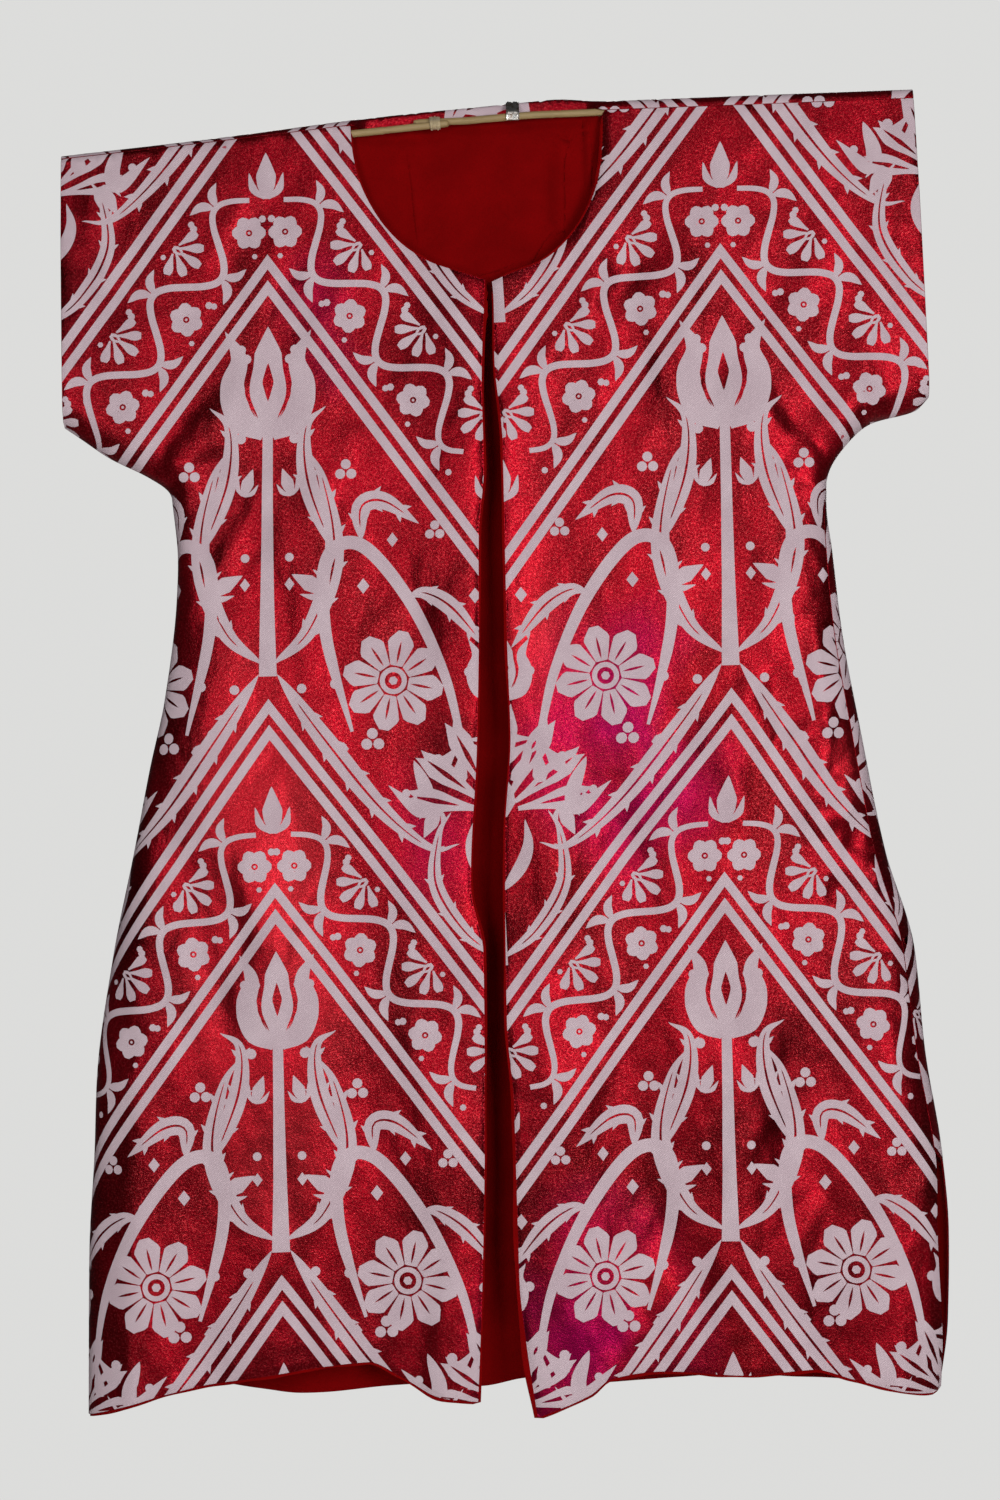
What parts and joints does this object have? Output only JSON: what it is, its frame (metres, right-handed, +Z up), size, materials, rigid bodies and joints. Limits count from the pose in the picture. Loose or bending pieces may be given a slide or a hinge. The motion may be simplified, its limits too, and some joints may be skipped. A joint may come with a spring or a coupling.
{
  "type": "talismanic shirt hung on a lashed rod",
  "caption": "Lined open-front robe shirt with short straight sleeves, round neck and side slits, hung flat through its sleeves on two thin lashed sticks.",
  "frame": {"origin": "on the axis of the hanging rod at the garment's centre line", "axes": "+Z up, the front of the garment faces -Y, +X to the viewer's right"},
  "size_m": [0.7777, 0.0694, 1.1811],
  "materials": {
    "patterned_satin": "red satin with woven white twill figures and double zigzag lines",
    "red_lining": "plain matte deep red cotton",
    "stick_wood": "bare pale split bamboo or reed",
    "lashing_thread": "pale thread wound round the sticks",
    "clip_steel": "worn folded sheet steel"
  },
  "bodies": {
    "root": {"front_left": "patterned_satin", "front_left_lining": "red_lining", "front_right": "patterned_satin", "front_right_lining": "red_lining", "back": "patterned_satin", "back_lining": "red_lining", "stick_left": "stick_wood", "stick_right": "stick_wood", "lashing": "lashing_thread", "clip": "clip_steel"}
  },
  "joints": []
}
